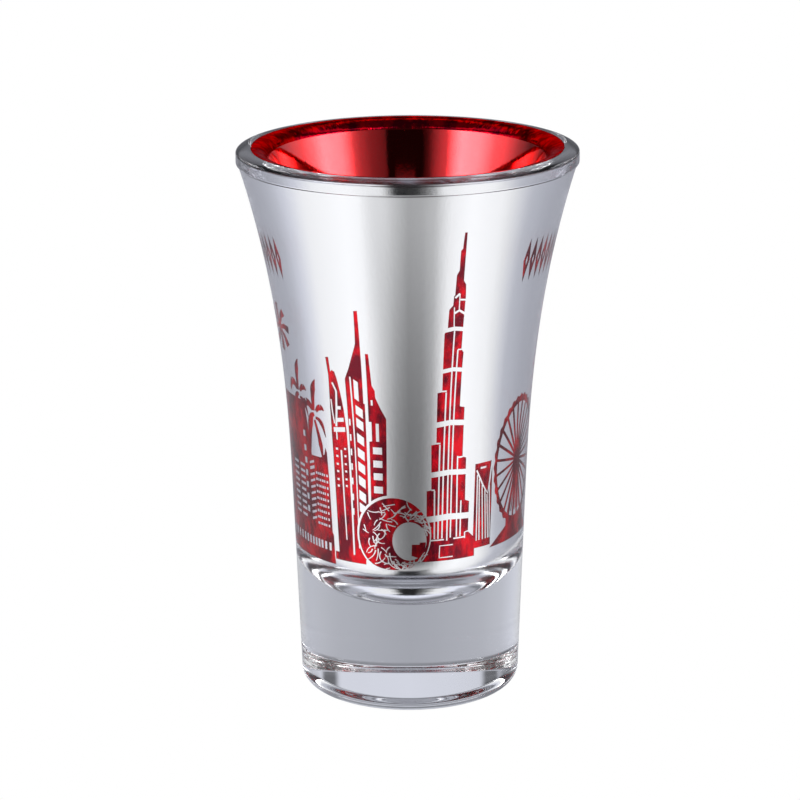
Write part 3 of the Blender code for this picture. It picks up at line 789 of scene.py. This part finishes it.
# %% The low block and its palms
def palm(a, z, size=1.0):
    """A bent trunk and six tapering leaves."""
    leaves = [
        ([(-1.0, 0.2), (-0.6, 2.6), (0.8, 4.2), (2.9, 5.1)], 0.5, 1.0),
        ([(1.2, 0.2), (3.6, 0.9), (6.0, 1.0), (8.0, 0.6)], 0.5, 1.0),
        ([(0.4, -0.8), (3.4, -0.9), (6.0, -1.7), (8.0, -3.4)], 0.4, 0.7),
        ([(-0.6, -0.3), (-3.6, -0.6), (-5.8, -2.6), (-6.8, -6.4)], 0.5, 1.1),
        ([(-1.6, 0.3), (-5.0, 1.2), (-8.4, 1.2), (-11.6, -0.4)], 0.6, 1.3),
        ([(-0.6, -1.2), (2.2, -3.6), (3.6, -5.4), (4.6, -7.4)], 0.4, 0.8),
    ]
    shapes = []
    for line, thin, thick in leaves:
        p = np.array(line) * size + (a, z)
        t = np.linspace(0, 3, 10)
        fine = np.stack([np.interp(t, range(4), p[:, k]) for k in (0, 1)], axis=1)
        fine[1:-1] = (fine[:-2] + 2 * fine[1:-1] + fine[2:]) / 4
        first, second = stroke(fine[:6], thin, thick), stroke(fine[5:], thick, thin * 0.3)
        shapes += [(CUT, first), (CUT, second)]
    return shapes


def low_block():
    """A wide low block with rows of dashes, a column of squares and a ground floor."""
    shapes = [(CUT, [(-104.0, 20.6), (-49.5, 20.8), (-50.1, 25.2), (-51.0, 25.6), (-51.8, 33.0),
                     (-52.6, 37.6), (-53.6, 38.3), (-54.8, 37.2), (-58.0, 36.6), (-66.8, 36.5),
                     (-68.2, 40.0), (-70.5, 44.5), (-104.0, 44.5)])]
    for row in range(9):
        z = 34.0 - 0.95 * row
        shapes.append((KEEP, box(-69.6, -64.9, z + 0.1, z + 0.45, 0.45)))
        for a, w in ((-63.0, 1.5), (-61.2, 0.8), (-59.6, 1.2), (-57.6, 1.3), (-55.9, 1.0),
                     (-53.6, 1.2)):
            shapes.append((KEEP, box(a - w / 2, a + w / 2, z - 0.18, z + 0.18)))
        shapes.append((KEEP, box(-82.0, -76.0, z + 0.1, z + 0.5)))
        shapes.append((KEEP, box(-92.0, -85.0, z + 0.1, z + 0.5)))
    shapes.append((KEEP, box(-69.6, -65.0, 35.0, 35.35, 0.45)))
    shapes.append((KEEP, box(-69.6, -65.0, 34.4, 34.55, 0.45)))
    for z in (39.4, 37.2, 35.3, 33.4, 31.6, 29.8, 27.9):
        shapes.append((KEEP, box(-74.8, -72.4, z - 0.45, z + 0.45)))
    for a in (-98.0, -93.6, -89.2, -84.8, -80.6, -76.8, -73.2, -69.9, -66.8, -63.8, -60.8,
              -57.3, -53.4):
        shapes.append((KEEP, box(a - 0.9, a + 0.9, 22.7, 23.9)))
    return shapes


print("the low block has", len(low_block()), "outlines, a palm", len(palm(0.0, 45.0)))

# %% [markdown]
# ## Ornaments for the sides
#
# Such a glass often carries words high on its sides. No words are drawn here. Plain lozenges
# fill a band of the same height, and a rosette of eight petals fills the place of a badge.

# %% Lozenges and rosette
LOZENGES, PETALS, ROSETTE = 9, 8, np.array([-90.0, 54.6])


def ornaments():
    """Two rows of lozenges and a rosette, high on the sides."""
    shapes = []
    for first in (-112.5, 61.8):
        for k in range(LOZENGES):
            a = first + 5.1 * k
            shapes.append((CUT, [(a - 2.3, 65.8), (a, 62.5), (a + 2.3, 65.8), (a, 69.1)]))
            shapes.append((KEEP, [(a - 0.6, 65.8), (a, 65.1), (a + 0.6, 65.8), (a, 66.5)]))
    for k in range(PETALS):
        turn = math.radians(360 // PETALS * k)
        line = [ROSETTE + (2.2 * math.cos(turn), 0.7 * math.sin(turn)),
                ROSETTE + (7.0 * math.cos(turn + 0.15), 2.1 * math.sin(turn + 0.15)),
                ROSETTE + (12.6 * math.cos(turn), 3.6 * math.sin(turn))]
        shapes.append((CUT, stroke(line, 0.5, 1.2)))
    shapes.append((CUT, oval(*ROSETTE, 2.6, 0.85, 20)))
    return shapes


print("the ornaments have", len(ornaments()), "outlines")

# %% The whole picture
RAISE, RAISE_FROM, RAISE_OVER = 0.33, 35.0, 36.0


def shifted(shapes, degrees):
    """The same outlines, turned round the glass."""
    return [(cut, [(a + degrees, z) for a, z in outline]) for cut, outline in shapes]


def raised(shapes):
    """Heights stretched a little toward the lip, by the square of the height above 35 mm."""
    return [(cut, [(a, z + RAISE * (max(z - RAISE_FROM, 0.0) / RAISE_OVER)**2) for a, z in outline])
            for cut, outline in shapes]


city = (stepped_tower() + [(CUT, box(-49.0, -27.0, 21.7, 22.9))] + sail_tower()
        + slant_roof_tower() + square_window_tower() + ring_hall() + gate_building())
picture = raised(low_block() + palm(-75.0, 45.6) + palm(-60.6, 43.3) + ornaments()
                 + observation_wheel() + city + shifted(city, -180.0))
print("the picture has", len(picture), "outlines")

# %% [markdown]
# ## Rolling the film
#
# The flat sheet is cut into triangles that follow every outline, with a grid of extra points
# to bend along. Triangles that end up inside a cut are dropped. What is left is rolled onto
# the cavity's curve twice, at two depths, and walls along every edge close it into a shell.

# %% Cutting the sheet
SEAM = 117.0
SHEET_SCALE = 0.25
SAME_POINT = 1e-4
FILM_FRONT, FILM_BACK = 0.085, 0.06
columns = np.linspace(SEAM - 360, SEAM, 145)
rows = np.concatenate([np.linspace(CORNER_H, WALL_FOOT, 26), np.linspace(WALL_FOOT, LIP_H, 38)[1:],
                       np.linspace(LIP_H, lip_h(70), 9)[1:]])


def resample(outline, step):
    """Adds points so that no side is longer than step millimetres on the flat sheet."""
    p = np.array(outline)
    q = np.roll(p, -1, axis=0)
    size = np.hypot((q[:, 0] - p[:, 0]) * SHEET_SCALE, q[:, 1] - p[:, 1])
    count = np.maximum(1, np.ceil(size / step)).astype(int)
    side = np.repeat(np.arange(len(p)), count)
    part = np.concatenate([np.arange(n) / n for n in count])[:, None]
    return p[side] + (q[side] - p[side]) * part


def cut_sheet(shapes):
    """Triangles of film on the flat sheet, as points in degrees and path values."""
    edge = np.concatenate([
        np.stack([columns, np.full_like(columns, rows[0])], axis=1)[:-1],
        np.stack([np.full_like(rows, SEAM), rows], axis=1)[:-1],
        np.stack([columns, np.full_like(columns, rows[-1])], axis=1)[:0:-1],
        np.stack([np.full_like(rows, SEAM - 360), rows], axis=1)[:0:-1]])
    rings = [edge]
    for _, outline in shapes:
        ring = resample(outline, 0.8)
        x, y = ring[:, 0], ring[:, 1]
        area = np.sum(x * np.roll(y, -1) - np.roll(x, -1) * y)
        rings.append(ring if area > 0 else ring[::-1])
    grid = np.stack(np.meshgrid(columns[1:-1], rows[1:-1]), axis=-1).reshape(-1, 2)
    points = np.vstack([*rings, grid])
    starts = np.cumsum([0] + [len(ring) for ring in rings])
    loops = [list(range(a, b)) for a, b in zip(starts, starts[1:])]
    flat, _, faces, _, _, sources = delaunay_2d_cdt(
        (points * (SHEET_SCALE, 1.0)).tolist(), [], loops, 0, SAME_POINT, True)
    cuts = [KEEP, *(cut for cut, _ in shapes)]
    triangles = np.array([face for face, covering in zip(faces, sources)
                          if covering and not cuts[max(covering)]])
    flat = np.array([tuple(point) for point in flat]) / (SHEET_SCALE, 1.0)
    return flat, triangles


flat, triangles = cut_sheet(picture)
print("the cut sheet has", len(triangles), "triangles")


# %% Rolling and closing the shell
def rolled(h, azimuth, depth):
    """A sheet point on the glass: the cavity curve at depth, turned to its azimuth."""
    r, z = layer(h, depth)
    turn = np.radians(azimuth)
    return np.stack([r * np.sin(turn), -r * np.cos(turn), z], axis=1)


def film_shell(flat, triangles, material):
    """Front and back copies of the triangles, a disc over the cavity's floor, and a wall on
    every side that only one triangle uses."""
    azimuth = np.where(np.abs(flat[:, 0] - SEAM) < SAME_POINT, SEAM - 360, flat[:, 0])
    key = np.round(np.stack([azimuth, flat[:, 1]], axis=1), 4)
    _, first, same = np.unique(key, axis=0, return_index=True, return_inverse=True)
    azimuth, h = azimuth[first], flat[first, 1]
    faces = same.reshape(-1)[triangles]
    pole = len(azimuth)
    base = np.flatnonzero(np.abs(h - rows[0]) < SAME_POINT)
    base = base[np.argsort(azimuth[base])]
    fan = np.stack([np.full(len(base), pole), np.roll(base, -1), base], axis=1)
    azimuth, h = np.append(azimuth, 0.0), np.append(h, POLE_H)
    faces = np.vstack([faces, fan])
    faces = faces[(faces[:, 0] != faces[:, 1]) & (faces[:, 1] != faces[:, 2])
                  & (faces[:, 0] != faces[:, 2])]
    count = len(azimuth)
    sides = np.concatenate([faces[:, [0, 1]], faces[:, [1, 2]], faces[:, [2, 0]]])
    code = np.sort(sides, axis=1) @ np.array([count, 1])
    _, index, uses = np.unique(code, return_index=True, return_counts=True)
    border = sides[index[uses == 1]]
    walls = np.stack([border[:, 1], border[:, 0], border[:, 0] + count, border[:, 1] + count],
                     axis=1)
    points = np.vstack([rolled(h, azimuth, FILM_FRONT), rolled(h, azimuth, FILM_BACK)])
    piece = add_piece("skyline_film", points,
                      faces.tolist() + (faces[:, ::-1] + count).tolist() + walls.tolist(), material)
    across, up = into_glass(h)
    turn = np.radians(azimuth)
    out = np.stack([across * np.sin(turn), -across * np.cos(turn), up], axis=1)
    side = points[border[:, 1]] - points[border[:, 0]]
    wall_out = np.cross(out[border[:, 0]], side)
    wall_out /= np.maximum(np.linalg.norm(wall_out, axis=1, keepdims=True), 1e-12)
    corners = np.vstack([out[faces].reshape(-1, 3), -out[faces[:, ::-1]].reshape(-1, 3),
                         np.repeat(wall_out, 4, axis=0)])
    piece.data.normals_split_custom_set(corners.tolist())
    return piece


film = film_shell(flat, triangles, silver_mirror)
print("the film is", round(FILM_FRONT - FILM_BACK, 3), "mm thick")

# %% [markdown]
# ## Joining the frame
#
# The three layers ride on the one body and stand for the solids of the imported model.

# %% Ride and replace
for piece, node, slot in ((glass, "glass_body", "clear_glass"),
                          (film, "silver_film", "silver_mirror"),
                          (lining, "red_lining", "red_lacquer")):
    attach(piece, "root")
    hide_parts(node)
